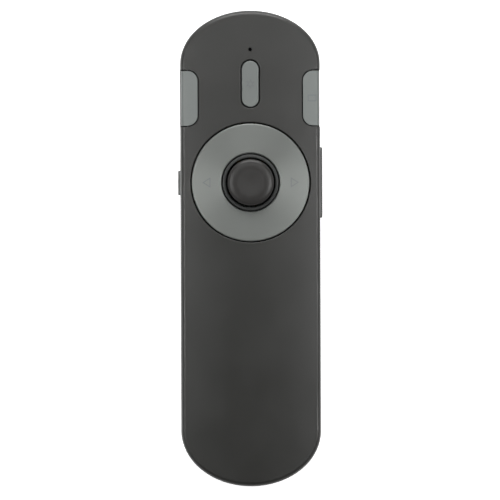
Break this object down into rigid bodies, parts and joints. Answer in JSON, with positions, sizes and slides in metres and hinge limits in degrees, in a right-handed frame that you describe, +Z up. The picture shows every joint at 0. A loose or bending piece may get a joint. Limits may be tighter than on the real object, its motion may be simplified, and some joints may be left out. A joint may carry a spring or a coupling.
{
  "type": "presentation clicker",
  "caption": "Hand-held wireless presentation clicker with navigation ring, joystick knob, laser key, side keys and a stored receiver.",
  "frame": {"origin": "centre of the box's bottom, on the surface that the clicker lies on", "axes": "+Y along the clicker to the laser end, +Z up out of the key face, +X to the right seen from above with the laser end forward"},
  "size_m": [0.0402, 0.132, 0.0268],
  "materials": {
    "case_plastic": "fine matt texture",
    "key_plastic": "satin",
    "ring_plastic": "satin silver-grey paint",
    "rocker_plastic": "satin",
    "collar_plastic": "matt",
    "knob_rubber": "soft matt",
    "dome_rubber": "matt",
    "hoop_plastic": "plain moulded",
    "light_guide": "smoked clear",
    "lens_glass": "polished",
    "bezel_plastic": "gloss",
    "barrel_brass": "turned",
    "board_laminate": "solder mask",
    "component_black": "moulded",
    "component_steel": "bright",
    "capacitor_ceramic": "fired",
    "stem_steel": "ground",
    "screw_steel": "black zinc",
    "contact_nickel": "nickel plated",
    "cell_wrap": "shrink wrap",
    "plug_steel": "nickel plated",
    "plug_insulator": "moulded",
    "plug_gold": "gold plated",
    "receiver_plastic": "matt"
  },
  "bodies": {
    "case": {"battery_bridge_contact": "contact_nickel", "battery_left": "cell_wrap", "battery_positive_contact": "contact_nickel", "battery_right": "cell_wrap", "battery_spring": "contact_nickel", "board_screws": "screw_steel", "bottom_case": "case_plastic", "capacitors": "capacitor_ceramic", "case_screws": "screw_steel", "crystal": "component_steel", "indicator_led": "component_black", "indicator_light_pipe": "light_guide", "joystick_bezel": "collar_plastic", "joystick_housing": "component_steel", "joystick_press_dome": "component_steel", "key_switches": "component_black", "laser_barrel": "barrel_brass", "laser_bezel": "bezel_plastic", "laser_driver_board": "board_laminate", "laser_lens": "lens_glass", "lock_switch_body": "component_black", "main_circuit_board": "board_laminate", "microcontroller": "component_black", "radio_module": "component_steel", "ring_switches": "component_black", "rocker_pin": "stem_steel", "top_case": "case_plastic", "volume_switches": "component_black"},
    "laser_key": {"laser_button": "key_plastic"},
    "left_key": {"left_button": "key_plastic"},
    "right_key": {"right_button": "key_plastic"},
    "hoop": {"ring_gimbal_hoop": "hoop_plastic"},
    "ring": {"navigation_ring": "ring_plastic"},
    "stick_frame": {"joystick_outer_gimbal": "hoop_plastic"},
    "stick_yoke": {"joystick_inner_yoke": "hoop_plastic"},
    "stick": {"joystick_stem": "stem_steel", "joystick_dust_dome": "dome_rubber", "joystick_cap": "knob_rubber"},
    "slider": {"lock_slider": "key_plastic"},
    "rocker": {"volume_rocker": "rocker_plastic"},
    "door": {"battery_door": "case_plastic"},
    "receiver": {"receiver_plug_shell": "plug_steel", "receiver_insulator": "plug_insulator", "receiver_contacts": "plug_gold", "receiver_cap": "receiver_plastic"}
  },
  "joints": [
    {"name": "laser_press", "type": "slide", "parent": "case", "child": "laser_key", "axis": [0, 0, -1], "range_m": [0, 0.0005], "stiffness_N_per_m": 1500},
    {"name": "left_press", "type": "slide", "parent": "case", "child": "left_key", "axis": [0, 0, -1], "range_m": [0, 0.0005], "stiffness_N_per_m": 1500},
    {"name": "right_press", "type": "slide", "parent": "case", "child": "right_key", "axis": [0, 0, -1], "range_m": [0, 0.0005], "stiffness_N_per_m": 1500},
    {"name": "ring_tilt_x", "type": "hinge", "parent": "case", "child": "hoop", "pos_m": [0, 0.0183, 0.0195], "axis": [1, 0, 0], "range_deg": [-2.5, 2.5], "stiffness_Nm_per_rad": 0.4},
    {"name": "ring_tilt_y", "type": "hinge", "parent": "hoop", "child": "ring", "pos_m": [0, 0.0183, 0.0195], "axis": [0, 1, 0], "range_deg": [-2.5, 2.5], "stiffness_Nm_per_rad": 0.4},
    {"name": "stick_tilt_x", "type": "hinge", "parent": "case", "child": "stick_frame", "pos_m": [0, 0.0183, 0.017], "axis": [1, 0, 0], "range_deg": [-5, 5], "stiffness_Nm_per_rad": 0.08},
    {"name": "stick_tilt_y", "type": "hinge", "parent": "stick_frame", "child": "stick_yoke", "pos_m": [0, 0.0183, 0.017], "axis": [0, 1, 0], "range_deg": [-5, 5], "stiffness_Nm_per_rad": 0.08},
    {"name": "stick_press", "type": "slide", "parent": "stick_yoke", "child": "stick", "axis": [0, 0, -1], "range_m": [0, 0.0003], "stiffness_N_per_m": 2500},
    {"name": "lock_slide", "type": "slide", "parent": "case", "child": "slider", "axis": [0, 1, 0], "range_m": [-0.002, 0.002]},
    {"name": "volume_rock", "type": "hinge", "parent": "case", "child": "rocker", "pos_m": [0.0158, 0.0183, 0.0101], "axis": [0, 0, 1], "range_deg": [-2.5, 2.5], "stiffness_Nm_per_rad": 0.15},
    {"name": "battery_door_swing", "type": "hinge", "parent": "case", "child": "door", "pos_m": [0, 0.0112, 0.0012], "axis": [1, 0, 0], "range_deg": [0, 70]},
    {"name": "receiver_pull", "type": "slide", "parent": "case", "child": "receiver", "axis": [0, -1, 0], "range_m": [0, 0.024]}
  ]
}
